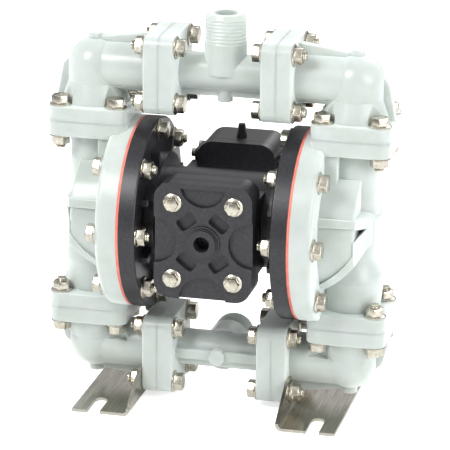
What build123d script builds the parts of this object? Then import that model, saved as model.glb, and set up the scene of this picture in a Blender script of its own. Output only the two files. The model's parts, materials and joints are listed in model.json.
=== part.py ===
"""Air operated double diaphragm pump, half inch class, plastic wetted parts.

Millimetres. X runs along the diaphragm rod, Y from the air inlet cap (front, -Y) to the
valve body (back, +Y), Z up. The origin is on the floor, under the middle of the pump.
Pieces that come in pairs are modelled on the +X side and mirrored to the -X side.
"""

import os
from math import atan2, degrees, sqrt

from build123d import *

# Heights, from the floor up
suction_axis_height = 38.0
suction_drop = 34.5
discharge_rise = 41.0

# Chamber discs
rim_radius = 76.0
rim_bolt_inset = 8.5
rim_bolt_count = 8
rim_rounding = 4.0
rim_pad_inset = 0.3
clamp_width = 19.0
joint_clearance = 0.5
diaphragm_thickness = 2.2
inner_rim_thickness = 13.0
inner_rim_rounding = 1.5
outer_rim_thickness = 17.0

# Wetted side: column, bowl and strap of the outer chamber
column_standoff = 36.0
column_radius = 20.0
column_bore_radius = 15.0
bulge_foot_radius = 22.5
bulge_foot_height = 14.0
bulge_radius = 24.9
bulge_height = 36.0
bulge_blend = 19.0
bowl_root_radius = 51.0
bowl_end_radius = 48.0
bowl_depth = 44.4
bowl_flat_height = 44.0
bowl_fillet = 2.0
bowl_wall = 6.0
strap_thickness = 6.0
strap_top_height = 20.5
strap_top_slope = 1.5
strap_overhang = 22.3
strap_mid_height = 3.0
strap_turn_offset = 6.0
strap_end_offset = 15.5
strap_end_height = -8.0
strap_arc_offset = -2.2
strap_arc_height = -30.7
strap_low_height = -52.5
strap_nose_offset = 0.8
strap_nose_half_width = 16.0
strap_proud_root = 3.0
strap_proud_end = 1.0
pocket_width = 7.0
pocket_height = 10.5
pocket_top = 12.5
pocket_slope = 3.5
neck_half_width = 28.0
neck_length = 26.8
neck_depth = 32.0

# Square four-bolt flanges, the same on every wetted joint
flange_half = 31.4
flange_corner = 9.0
flange_thickness = 12.2
flange_rounding = 1.5
flange_bolt_pitch = 44.9

# Elbows and manifolds
elbow_reach = 57.85
elbow_radius = 21.5
elbow_pipe_radius = 19.5
elbow_bell_radius = 27.0
elbow_bell_blend = 16.0
elbow_bore_radius = 12.5
elbow_rib_thickness = 7.0
elbow_rib_root = 28.0
elbow_rib_end = 22.0
elbow_nub_rise = 25.5
manifold_radius = 14.5
manifold_bore_radius = 10.5
manifold_keel = 4.4
port_base_radius = 17.1
port_tip_radius = 16.0
port_bore_radius = 9.2
port_length = 47.2
port_chamfer = 2.0
thread_length = 21.0
thread_pitch = 2.8
thread_depth = 0.9
nub_radius = 6.0
nub_rise = 4.0

# Ball check valves
ball_radius = 12.7
ball_lift = 7.0
ball_guide_clearance = 0.5
ball_rest_gap = 0.2
seat_radius = 17.5
seat_height = 8.0
seat_bore_radius = 8.5
seat_cone = 3.0
seat_fit = 0.1
cage_radius = 16.5
cage_rib_width = 3.5
cage_rib_count = 4
cage_stop_radius = 6.0
cage_stop_thickness = 3.5
seal_width = 2.6
seal_gap = 0.1
seat_seal_radius = 20.6
manifold_seal_radius = 16.5

# Rod, plates and diaphragms
rod_radius = 8.0
rod_stroke = 8.0
rod_thread_radius = 5.0
inner_plate_radius = 37.0
inner_plate_thickness = 7.0
outer_plate_radius = 28.0
outer_plate_thickness = 7.0
plate_rounding = 3.0
plate_nut_flats = 20.0
plate_nut_height = 6.0
rod_stick_out = 2.0
hub_dish = 6.0
diaphragm_edge_gap = 0.5
rod_fit = 0.04
bushing_radius = 11.0
bushing_length = 12.0
bushing_fit = 0.05
rod_seal_length = 3.6

# Air side
block_half_width = 38.0
block_half_height = 30.0
block_front = 45.1
block_back = 50.0
back_flange_thickness = 10.0
rod_passage_radius = 9.0
hub_screw_circle = 28.0
hub_thread_depth = 10.0
drum_radius = 48.0
hub_height = 7.0
hub_radius = 37.3
bowl_floor_height = 12.0
rim_standoff = 15.0
air_bowl_floor_radius = 42.0
drum_rib_thickness = 5.0
drum_rib_depth = 6.0
drum_rib_radius = 58.0
front_flange_thickness = 12.0
flange_overhang = 0.5
cap_half_height = 46.25
cap_corner = 13.0
cap_thickness = 9.2
cap_bolt_inset_x = 14.45
cap_bolt_inset_z = 15.8
cap_recess_radius = 18.3
cap_recess_depth = 3.5
cap_edge = 4.0
cap_pocket_offset = 20.5
cap_pocket_length = 10.0
cap_pocket_width = 15.5
cap_pocket_rounding = 2.5
cap_pocket_depth = 4.8
inlet_boss_radii = (13.6, 12.0, 11.0)
inlet_boss_step = 1.5
inlet_bore_radius = 6.2
gasket_thickness = 1.2
plate_thickness = 2.5
air_way_radius = 4.0
air_way_height = 22.0
air_way_spread = 10.0
cap_way_depth = 2.5
bowl_way_depth = 20.0

# Main air valve
valve_inset = 6.0
valve_thickness = 35.0
valve_top = 49.0
valve_bottom = 37.0
valve_corner = 13.0
valve_nub_radius = 4.3
valve_nub_tip_radius = 2.8
valve_nub_height = 11.0
valve_nub_depth = 60.0
sleeve_radius = 13.0
sleeve_fit = 0.05
spool_radius = 9.0
spool_waist_radius = 6.0
spool_end_gap = 0.6
spool_land_length = 7.0
spool_end_land = 3.0
spool_travel = 5.0
spool_fit = 0.04
spool_ring_width = 2.2
spool_ring_depth = 1.8
sleeve_hole_radius = 2.0
exhaust_spread = 16.0
exhaust_way_radius = 5.0
end_cap_thickness = 5.0
end_cap_half = 15.5
end_cap_corner = 4.0
end_cap_screw_offset = 12.0
exhaust_bore_radius = 7.6
exhaust_depth = 18.0
exhaust_drop = 20.0
exhaust_boss_radius = 13.0
exhaust_boss_height = 3.0
valve_bolt_x = 22.0
valve_bolt_high = 40.0
valve_bolt_low = -28.0
valve_thread_depth = 9.0

# Pilot valve
pilot_height = -20.0
pilot_depth = 20.0
pilot_body_radius = 8.0
pilot_end_gap = 1.0
pilot_spool_radius = 4.5
pilot_spool_half_length = 28.0
pilot_ratio = 1.0 / 3.0
pin_radius = 3.0
pin_clearance = 0.5
pilot_fit = 0.04

# Leg brackets, folded from sheet
leg_sheet = 2.5
foot_reach = 47.0
foot_half_depth = 69.0
foot_side_height = 6.0
leg_bend_radius = 3.0
leg_top_height = 28.0
leg_top_half_depth = 33.0
leg_notch_radius = 22.0
leg_notch_half_slot = 6.0
leg_notch_floor = 8.0
foot_slot_width = 10.5
foot_slot_length = 29.0
foot_slot_reach = 29.45

# Fasteners: hex flange bolts and nuts, then smaller screws
m8_radius = 4.0
m8_hole_radius = 4.4
m8_flats = 12.8
m8_flange_radius = 8.8
m8_flange_height = 1.6
m8_head_height = 7.6
m8_nut_height = 7.4
bolt_stick_out = 3.0
head_clearance = 0.7
m6_radius = 3.0
m6_hole_radius = 3.3
m6_flats = 10.0
m6_flange_radius = 7.3
m6_flange_height = 1.4
m6_head_height = 5.8
m6_thread_depth = 11.0
thread_end_gap = 1.0
m4_radius = 2.0
m4_hole_radius = 2.2
m4_head_radius = 3.5
m4_head_height = 3.0
m4_thread_depth = 8.0
m4_socket_flats = 3.0
thread_gap = 0.1
insert_radius = 6.0
insert_fit = 0.05
insert_length = 13.0
insert_bolt_reach = 12.0
joint_insert_length = 11.0
joint_insert_reach = 10.0

# Places that follow from the sizes above
joint_half_height = rim_radius + joint_clearance
rim_bolt_circle = rim_radius - rim_bolt_inset
clamp_inner_radius = rim_radius - clamp_width
center_height = suction_axis_height + suction_drop + joint_half_height
top_joint = center_height + joint_half_height
bottom_joint = center_height - joint_half_height
discharge_axis_height = top_joint + discharge_rise
drum_reach = block_half_width + hub_height
air_bowl_floor = block_half_width + bowl_floor_height
inner_rim_back = block_half_width + rim_standoff
inner_face = inner_rim_back + inner_rim_thickness
outer_face = inner_face + diaphragm_thickness
outer_rim_back = outer_face + outer_rim_thickness
hub_inner_face = inner_face + hub_dish
hub_outer_face = outer_face + hub_dish
plate_inner_face = hub_inner_face - inner_plate_thickness
plate_outer_face = hub_outer_face + outer_plate_thickness
column_offset = outer_face + column_standoff
bowl_end_offset = outer_face + bowl_depth
strap_reach = column_offset + strap_overhang
manifold_face = column_offset - elbow_reach
elbow_flange_back = manifold_face + flange_thickness
manifold_flange_back = manifold_face - flange_thickness
flange_bolt_half = flange_bolt_pitch / 2
ball_contact = ball_radius * sqrt(0.5)
ball_rise = 2 * ball_contact - seat_bore_radius - seat_cone + ball_rest_gap
cage_stop_height = ball_rise + ball_radius + ball_lift + ball_guide_clearance
cage_height = cage_stop_height + cage_stop_thickness
cap_half_width = block_half_width + flange_overhang
cap_bolt_x = cap_half_width - cap_bolt_inset_x
cap_bolt_z = cap_half_height - cap_bolt_inset_z
block_flange_front = block_front + front_flange_thickness
plate_back = block_flange_front + gasket_thickness
plate_front = plate_back + plate_thickness
cap_back = plate_front + gasket_thickness
cap_front = cap_back + cap_thickness
cap_bolt_angle = degrees(atan2(cap_bolt_z, cap_bolt_x))
inlet_boss_height = len(inlet_boss_radii) * inlet_boss_step
valve_front = block_back + gasket_thickness
valve_back = valve_front + valve_thickness
spool_axis_depth = (valve_front + valve_back) / 2
valve_half_width = block_half_width - valve_inset
pilot_half_length = block_half_width - pilot_end_gap
foot_slot_center = elbow_flange_back + foot_slot_reach
spool_half_length = valve_half_width - spool_travel - spool_end_gap
pin_tip = plate_inner_face - rod_stroke + pilot_ratio * rod_stroke - pin_clearance

os.makedirs("parts", exist_ok=True)

rod_axis = Axis((0, 0, center_height), (1, 0, 0))
column_axis = Axis((column_offset, 0, 0), (0, 0, 1))


def facing_front(depth, height=center_height, x=0.0):
    """Plane looking to the front at y = depth: local x along +X, local y up."""
    return Plane(origin=(x, depth, height), x_dir=(1, 0, 0), z_dir=(0, -1, 0))


def across_rod(x, height=center_height, depth=0.0):
    """Plane across the X direction at x: local x along +Y, local y up."""
    return Plane(origin=(x, depth, height), x_dir=(0, 1, 0), z_dir=(1, 0, 0))


def level(height, x=column_offset):
    """Level plane at a height, centred on a flow column."""
    return Plane(origin=(x, 0, height))


side_view = facing_front(0.0)


def save(builder, name):
    """Label a finished piece and write it to its own file."""
    builder.part.label = name
    export_step(builder.part, f"parts/{name}.step")


def mirrored(right_part):
    """The same piece on the -X side."""
    with BuildPart() as left:
        mirror(right_part, about=Plane.YZ)
    return left


def save_pair(right_builder, name):
    """Write a piece of the +X side and its mirrored twin."""
    save(right_builder, f"{name}_right")
    save(mirrored(right_builder.part), f"{name}_left")


def save_both_sides(right_builder, name):
    """Write one group that holds the +X solids and their mirrored twins."""
    with BuildPart() as group:
        add(right_builder.part)
        mirror(right_builder.part, about=Plane.YZ)
    save(group, name)


def group_of(piece, planes):
    """One group of separate solids: a copy of a piece on each plane."""
    with BuildPart() as group:
        with Locations(*planes):
            add(piece)
    return group


def square_outline(plane):
    """Outline of a square wetted flange."""
    with BuildSketch(plane) as outline:
        RectangleRounded(2 * flange_half, 2 * flange_half, flange_corner)
    return outline.sketch


def square_flange(plane):
    """Square flange that grows from its joint plane and is rounded on the far side."""
    with BuildPart() as blank:
        extrude(square_outline(Plane.XY), amount=flange_thickness)
        fillet(blank.edges().group_by(Axis.Z)[-1], flange_rounding)
    return plane.location * blank.part


def flange_holes(plane):
    """The four bolt holes of a square flange."""
    with BuildSketch(plane) as holes:
        with GridLocations(flange_bolt_pitch, flange_bolt_pitch, 2, 2):
            Circle(m8_hole_radius)
    return holes.sketch


def ring_outline(plane, radius, half_width):
    """Flat ring of a middle radius."""
    with BuildSketch(plane) as ring:
        Circle(radius + half_width)
        Circle(radius - half_width, mode=Mode.SUBTRACT)
    return ring.sketch


def hex_flange_bolt(shank, radius, flats, flange_radius, flange_height, head_height):
    """Bolt with its bearing face at z = 0, head up and shank down."""
    with BuildPart() as bolt:
        with BuildSketch():
            Circle(flange_radius)
        extrude(amount=flange_height)
        with BuildSketch(Plane.XY.offset(flange_height)):
            RegularPolygon(flats / 2, 6, major_radius=False)
        extrude(amount=head_height - flange_height)
        with BuildSketch():
            Circle(radius)
        extrude(amount=-shank)
    return bolt.part


def m8_bolt(shank):
    """M8 hex flange bolt."""
    return hex_flange_bolt(shank, m8_radius, m8_flats, m8_flange_radius,
                           m8_flange_height, m8_head_height)


def m6_bolt(shank):
    """M6 hex flange bolt."""
    return hex_flange_bolt(shank, m6_radius, m6_flats, m6_flange_radius,
                           m6_flange_height, m6_head_height)


def m8_nut():
    """M8 hex flange nut with its bearing face at z = 0, standing up."""
    with BuildPart() as nut:
        with BuildSketch():
            Circle(m8_flange_radius)
        extrude(amount=m8_flange_height)
        with BuildSketch(Plane.XY.offset(m8_flange_height)):
            RegularPolygon(m8_flats / 2, 6, major_radius=False)
        extrude(amount=m8_nut_height - m8_flange_height)
        with BuildSketch():
            Circle(m8_radius + thread_gap)
        extrude(amount=m8_nut_height, mode=Mode.SUBTRACT)
    return nut.part


def m8_insert(length):
    """Threaded insert with its mouth at z = 0, reaching down."""
    with BuildPart() as insert:
        with BuildSketch():
            Circle(insert_radius)
            Circle(m8_radius + thread_gap, mode=Mode.SUBTRACT)
        extrude(amount=-length)
    return insert.part


def m4_screw(shank):
    """Socket head screw with its bearing face at z = 0, head up."""
    with BuildPart() as small:
        with BuildSketch():
            Circle(m4_head_radius)
        extrude(amount=m4_head_height)
        with BuildSketch():
            Circle(m4_radius)
        extrude(amount=-shank)
        with BuildSketch(Plane.XY.offset(m4_head_height)):
            RegularPolygon(m4_socket_flats / 2, 6, major_radius=False)
        extrude(amount=-m4_head_height / 2, mode=Mode.SUBTRACT)
    return small.part


def ball_cage(joint_height):
    """Guide ribs and stop fingers over a seat whose top face is the joint plane."""
    guide_radius = ball_radius + ball_guide_clearance
    rib_length = cage_radius + seat_fit - guide_radius
    finger_length = cage_radius + seat_fit - cage_stop_radius
    with BuildPart() as cage:
        with BuildSketch(level(joint_height + ball_rise)):
            with PolarLocations(guide_radius + rib_length / 2, cage_rib_count, start_angle=45):
                Rectangle(rib_length, cage_rib_width)
        extrude(amount=cage_stop_height - ball_rise)
        with BuildSketch(level(joint_height + cage_stop_height)):
            with PolarLocations(cage_stop_radius + finger_length / 2, cage_rib_count, start_angle=45):
                Rectangle(finger_length, cage_rib_width)
        extrude(amount=cage_stop_thickness)
    return cage.part


def cage_bore(joint_height):
    """Round space of a ball cage, above the joint plane."""
    with BuildPart() as bore:
        with BuildSketch(level(joint_height)):
            Circle(cage_radius)
        extrude(amount=cage_height)
    return bore.part


def seat_pocket(joint_height):
    """Pocket for a seat and groove for its seal, below the joint plane."""
    with BuildPart() as pocket:
        with BuildSketch(level(joint_height)):
            Circle(seat_radius + seat_fit)
        extrude(amount=-seat_height)
        groove = ring_outline(level(joint_height), seat_seal_radius, seal_width / 2 + seal_gap)
        extrude(groove, amount=-seal_width - seal_gap)
    return pocket.part


# Side outline of the strap: out over the bowl, round the column, back under the bowl
with BuildSketch(side_view) as strap_outline:
    with BuildLine():
        turn_top = (column_offset + strap_turn_offset, strap_top_height - strap_top_slope)
        turn_end = (column_offset + strap_end_offset, strap_end_height)
        root_top = (outer_face, strap_top_height)
        root_low = (outer_face, strap_low_height)
        Line(root_top, turn_top)
        ThreePointArc(turn_top, (strap_reach, strap_mid_height), turn_end)
        ThreePointArc(turn_end, (column_offset + strap_arc_offset, strap_arc_height), root_low)
        Line(root_low, root_top)
    make_face()

# Beside the bowl the same outline, one strap thickness further in; beyond it a small pocket
with BuildSketch(side_view) as strap_inside:
    add(strap_outline.sketch_local)
    offset(amount=-strap_thickness, mode=Mode.REPLACE)
    with Locations((bowl_end_offset + strap_overhang, 0)):
        Rectangle(2 * strap_overhang, 2 * rim_radius, mode=Mode.SUBTRACT)
    with BuildLine():
        pocket_tip = (bowl_end_offset + pocket_width, pocket_top - pocket_slope)
        Polyline((bowl_end_offset, pocket_top), pocket_tip, (bowl_end_offset, pocket_top - pocket_height),
                 (bowl_end_offset, pocket_top))
    make_face()

# Plan outline of the strap: as deep as the rim beside the bowl, closing in on the column
with BuildSketch(level(center_height, 0.0)) as strap_plan:
    with BuildLine():
        shoulder = bowl_end_radius + strap_proud_end
        nose_x = column_offset + column_radius + strap_nose_offset
        Polyline((nose_x, strap_nose_half_width), (bowl_end_offset, shoulder), (outer_face, rim_radius),
                 (outer_face, -rim_radius), (bowl_end_offset, -shoulder), (nose_x, -strap_nose_half_width))
        ThreePointArc((nose_x, -strap_nose_half_width), (strap_reach, 0), (nose_x, strap_nose_half_width))
    make_face()

with BuildPart() as strap:
    extrude(strap_outline.sketch, amount=rim_radius, both=True)
    extrude(strap_inside.sketch, amount=rim_radius, both=True, mode=Mode.SUBTRACT)
    extrude(strap_plan.sketch, amount=rim_radius, both=True, mode=Mode.INTERSECT)
    # Its edges stand a little proud of the bowl all round
    with BuildSketch(side_view):
        with BuildLine():
            proud_root = bowl_root_radius + strap_proud_root
            proud_end = bowl_end_radius + strap_proud_end
            Polyline((outer_face, 0), (outer_face, proud_root), (outer_rim_back, proud_root),
                     (bowl_end_offset, proud_end), (strap_reach, proud_end), (strap_reach, 0),
                     (outer_face, 0))
        make_face()
    revolve(axis=rod_axis, mode=Mode.INTERSECT)



def above_strap(top):
    """Side view of the space from the strap's top band up to a height over the rod."""
    low = strap_top_height / 2
    with BuildSketch(side_view) as space:
        with Locations(((outer_face + strap_reach) / 2, (low + top) / 2)):
            Rectangle(strap_reach - outer_face, top - low)
    return space.sketch_local


# Bowl of the outer chamber, flat on top and cut off below by the strap
with BuildPart() as bowl:
    with BuildSketch(side_view):
        with BuildLine():
            Polyline((outer_face, 0), (outer_face, bowl_root_radius), (outer_rim_back, bowl_root_radius),
                     (bowl_end_offset, bowl_end_radius), (bowl_end_offset, 0), (outer_face, 0))
        make_face()
    revolve(axis=rod_axis)
    fillet(edges().group_by(Axis.X)[-1], bowl_fillet)
    with BuildSketch(side_view):
        add(strap_outline.sketch_local)
        add(above_strap(bowl_flat_height))
    extrude(amount=rim_radius, both=True, mode=Mode.INTERSECT)

# Its hollow: the diaphragm's swing in the rim, then the bowl less its wall
with BuildPart() as bowl_hollow:
    with BuildSketch(side_view):
        with BuildLine():
            Polyline((outer_rim_back, 0), (outer_rim_back, bowl_root_radius - bowl_wall),
                     (bowl_end_offset - bowl_wall, bowl_end_radius - bowl_wall),
                     (bowl_end_offset - bowl_wall, 0), (outer_rim_back, 0))
        make_face()
    revolve(axis=rod_axis)
    with BuildSketch(side_view):
        add(strap_inside.sketch_local)
        add(above_strap(bowl_flat_height - bowl_wall))
    extrude(amount=rim_radius, both=True, mode=Mode.INTERSECT)
    with BuildSketch(side_view):
        with BuildLine():
            Polyline((outer_face, 0), (outer_face, clamp_inner_radius),
                     (outer_rim_back, bowl_root_radius - bowl_wall), (outer_rim_back, 0), (outer_face, 0))
        make_face()
    revolve(axis=rod_axis)

# Rim with a rounded back, and a flat pad for each bolt head on the rounding
with BuildPart() as outer_rim:
    with BuildSketch(across_rod(outer_face)):
        Circle(rim_radius)
    extrude(amount=outer_rim_thickness)
    fillet(edges().group_by(Axis.X)[-1], rim_rounding)
    with BuildSketch(across_rod(outer_face)):
        with PolarLocations(rim_bolt_circle, rim_bolt_count):
            Circle(rim_bolt_inset - rim_pad_inset)
    extrude(amount=outer_rim_thickness)

with BuildPart() as outer_chamber:
    add(bowl.part)
    add(strap.part)
    add(outer_rim.part)
    # Flow column, wider at its foot for the suction ball
    with BuildSketch(facing_front(0.0, bottom_joint, column_offset)):
        with BuildLine():
            column_top = 2 * joint_half_height
            blend_top = bulge_height + bulge_blend
            Polyline((0, 0), (bulge_foot_radius, 0), (bulge_foot_radius, bulge_foot_height),
                     (bulge_radius, bulge_height))
            Spline((bulge_radius, bulge_height), (column_radius, blend_top), tangents=((0, 1), (0, 1)))
            Polyline((column_radius, blend_top), (column_radius, column_top), (0, column_top), (0, 0))
        make_face()
    revolve(axis=column_axis)
    # Neck that ties the top flange to the rim
    with BuildSketch(level(top_joint - flange_thickness, outer_face + neck_length / 2)):
        Rectangle(neck_length, 2 * neck_half_width)
    extrude(amount=-neck_depth)
    add(square_flange(-level(top_joint)))
    add(square_flange(level(bottom_joint)))
    # Hollows: bowl, column and ball cage
    add(bowl_hollow.part, mode=Mode.SUBTRACT)
    with BuildSketch(level(bottom_joint)):
        Circle(column_bore_radius)
    extrude(amount=2 * joint_half_height, mode=Mode.SUBTRACT)
    add(cage_bore(bottom_joint), mode=Mode.SUBTRACT)
    add(ball_cage(bottom_joint))
    add(seat_pocket(top_joint), mode=Mode.SUBTRACT)
    # Joint bolts: through on the outside, into inserts on the rim side
    with BuildSketch(level(bottom_joint)):
        with Locations((flange_bolt_half, flange_bolt_half), (flange_bolt_half, -flange_bolt_half)):
            Circle(m8_hole_radius)
    extrude(amount=2 * joint_half_height, mode=Mode.SUBTRACT)
    for joint_height, depth in ((top_joint, -joint_insert_length), (bottom_joint, joint_insert_length)):
        with BuildSketch(level(joint_height)):
            with Locations((-flange_bolt_half, flange_bolt_half), (-flange_bolt_half, -flange_bolt_half)):
                Circle(insert_radius + insert_fit)
        extrude(amount=depth, mode=Mode.SUBTRACT)
    # Rim bolts: through on the sides, into inserts above and below
    with BuildSketch(across_rod(outer_face)):
        for quarter in (-45, 135):
            with PolarLocations(rim_bolt_circle, 3, start_angle=quarter, angular_range=90, endpoint=True):
                Circle(m8_hole_radius)
    extrude(amount=outer_rim_thickness, mode=Mode.SUBTRACT)
    with BuildSketch(across_rod(outer_face)):
        with PolarLocations(rim_bolt_circle, 2, start_angle=90):
            Circle(insert_radius + insert_fit)
    extrude(amount=insert_length, mode=Mode.SUBTRACT)
save_pair(outer_chamber, "outer_chamber")


def elbow(joint_height, axis_height, up):
    """Elbow from a chamber joint to a manifold; up is 1 above the chamber and -1 below."""
    rise = abs(axis_height - joint_height)
    bell_start = flange_thickness
    with BuildPart() as piece:
        joint_plane = level(joint_height) if up > 0 else -level(joint_height)
        add(square_flange(joint_plane))
        add(square_flange(across_rod(manifold_face, axis_height)))
        # Bell between the joint flange and the bend, then the bend and the level pipe
        with BuildSketch(level(joint_height + up * bell_start)):
            Circle(elbow_bell_radius)
        with BuildSketch(level(joint_height + up * (bell_start + elbow_bell_blend))):
            Circle(elbow_radius)
        loft()
        with BuildSketch(level(joint_height)):
            Circle(elbow_radius)
        extrude(amount=up * rise)
        with Locations((column_offset, 0, axis_height)):
            Sphere(elbow_radius)
        with BuildSketch(across_rod(manifold_face, axis_height)):
            Circle(elbow_pipe_radius)
        extrude(amount=column_offset - manifold_face)
        # Spine rib round the outside of the bend
        with BuildSketch(facing_front(0.0, axis_height)):
            with BuildLine():
                outer_x = column_offset + elbow_radius + nub_rise
                Polyline((elbow_flange_back, 0), (elbow_flange_back, up * elbow_rib_root),
                         (column_offset, up * elbow_rib_end), (outer_x, 0),
                         (column_offset + elbow_bell_radius + nub_rise, -up * (rise - flange_thickness)),
                         (column_offset, -up * (rise - flange_thickness)), (column_offset, 0),
                         (elbow_flange_back, 0))
            make_face()
        extrude(amount=elbow_rib_thickness / 2, both=True)
        with BuildSketch(level(axis_height)):
            Circle(nub_radius)
        extrude(amount=up * elbow_nub_rise)
        # Room for the bolt heads beside the bell
        with BuildSketch(level(joint_height + up * flange_thickness)):
            with GridLocations(flange_bolt_pitch, flange_bolt_pitch, 2, 2):
                Circle(m8_flange_radius + head_clearance)
        extrude(amount=up * elbow_bell_blend, mode=Mode.SUBTRACT)
        # Waterways and bolt holes
        with BuildSketch(across_rod(manifold_face, axis_height)):
            Circle(elbow_bore_radius)
        extrude(amount=column_offset - manifold_face, mode=Mode.SUBTRACT)
        with Locations((column_offset, 0, axis_height)):
            Sphere(elbow_bore_radius, mode=Mode.SUBTRACT)
        with BuildSketch(level(joint_height)):
            Circle(elbow_bore_radius)
        extrude(amount=up * rise, mode=Mode.SUBTRACT)
        with BuildSketch(level(joint_height)):
            with GridLocations(flange_bolt_pitch, flange_bolt_pitch, 2, 2):
                Circle(m8_hole_radius)
        extrude(amount=up * flange_thickness, mode=Mode.SUBTRACT)
        extrude(flange_holes(across_rod(manifold_face, axis_height)), amount=flange_thickness,
                mode=Mode.SUBTRACT)
        groove = ring_outline(across_rod(manifold_face, axis_height), manifold_seal_radius,
                              seal_width / 2 + seal_gap)
        extrude(groove, amount=seal_width + seal_gap, mode=Mode.SUBTRACT)
        if up > 0:
            add(cage_bore(joint_height), mode=Mode.SUBTRACT)
            add(ball_cage(joint_height))
        else:
            add(seat_pocket(joint_height), mode=Mode.SUBTRACT)
    return piece


save_pair(elbow(top_joint, discharge_axis_height, 1), "discharge_elbow")
save_pair(elbow(bottom_joint, suction_axis_height, -1), "suction_elbow")


def manifold(axis_height, port_direction):
    """Manifold with one male threaded port; the direction is a plane's normal."""
    port_plane = Plane(origin=(0, 0, axis_height), x_dir=(1, 0, 0), z_dir=port_direction)
    # Lengthwise plane whose local y points out of the port
    port_view = Plane(origin=(0, 0, axis_height), x_dir=(1, 0, 0),
                      z_dir=Vector(1, 0, 0).cross(Vector(*port_direction)))
    thread_start = port_length - port_chamfer - thread_length
    thread_count = int(thread_length / thread_pitch)
    taper = (port_base_radius - port_tip_radius) / port_length
    with BuildPart() as piece:
        add(square_flange(across_rod(-manifold_face, axis_height)))
        add(square_flange(-across_rod(manifold_face, axis_height)))
        with BuildSketch(across_rod(-manifold_flange_back, axis_height)):
            Circle(manifold_radius)
        extrude(amount=2 * manifold_flange_back)
        # Keel along the pipe, away from the port, with a moulding nub under it
        with BuildSketch(port_view):
            with Locations((0, -(manifold_radius + manifold_keel) / 2)):
                Rectangle(2 * manifold_flange_back, manifold_radius + manifold_keel)
        extrude(amount=elbow_rib_thickness / 2, both=True)
        with BuildSketch(port_plane):
            Circle(nub_radius)
        extrude(amount=-(manifold_radius + manifold_keel + nub_rise))
        # Port with a tapered thread
        with BuildSketch(port_view):
            with BuildLine():
                crests = []
                for turn in range(thread_count):
                    crest = thread_start + turn * thread_pitch
                    root = crest + thread_pitch / 2
                    crests.append((port_base_radius - taper * crest, crest))
                    crests.append((port_base_radius - taper * root - thread_depth, root))
                last = thread_start + thread_count * thread_pitch
                Polyline((0, 0), (port_base_radius, 0), *crests,
                         (port_base_radius - taper * last, last),
                         (port_tip_radius - port_chamfer, port_length),
                         (0, port_length), (0, 0))
            make_face()
        revolve(axis=Axis((0, 0, axis_height), port_direction))
        # Waterways and bolt holes
        with BuildSketch(across_rod(-manifold_face, axis_height)):
            Circle(manifold_bore_radius)
        extrude(amount=2 * manifold_face, mode=Mode.SUBTRACT)
        with BuildSketch(port_plane):
            Circle(port_bore_radius)
        extrude(amount=port_length, mode=Mode.SUBTRACT)
        for side in (-1, 1):
            extrude(flange_holes(across_rod(side * manifold_face, axis_height)),
                    amount=-side * flange_thickness, mode=Mode.SUBTRACT)
    return piece


save(manifold(discharge_axis_height, (0, 0, 1)), "discharge_manifold")
save(manifold(suction_axis_height, (0, 1, 0)), "suction_manifold")

# Ball seats, flush with the joint planes, and the seals round them
for name, joint_height in (("discharge_seat", top_joint), ("suction_seat", bottom_joint)):
    with BuildPart() as seat:
        with BuildSketch(facing_front(0.0, joint_height, column_offset)):
            with BuildLine():
                Polyline((seat_bore_radius, -seat_height), (seat_radius, -seat_height), (seat_radius, 0),
                         (seat_bore_radius + seat_cone, 0), (seat_bore_radius, -seat_cone),
                         (seat_bore_radius, -seat_height))
            make_face()
        revolve(axis=column_axis)
    save_pair(seat, name)

with BuildPart() as seat_seals:
    for joint_height in (top_joint, bottom_joint):
        seal_plane = level(joint_height - seal_gap / 2)
        extrude(ring_outline(seal_plane, seat_seal_radius, seal_width / 2), amount=-seal_width)
save_both_sides(seat_seals, "seat_seals")

with BuildPart() as manifold_seals:
    for axis_height in (discharge_axis_height, suction_axis_height):
        seal_plane = across_rod(manifold_face + seal_gap / 2, axis_height)
        extrude(ring_outline(seal_plane, manifold_seal_radius, seal_width / 2), amount=seal_width)
save_both_sides(manifold_seals, "manifold_seals")

# Valve balls, each resting just over its seat
for name, joint_height in (("discharge_ball", top_joint), ("suction_ball", bottom_joint)):
    with BuildPart() as ball:
        with Locations((column_offset, 0, joint_height + ball_rise)):
            Sphere(ball_radius)
    save_pair(ball, name)

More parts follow.
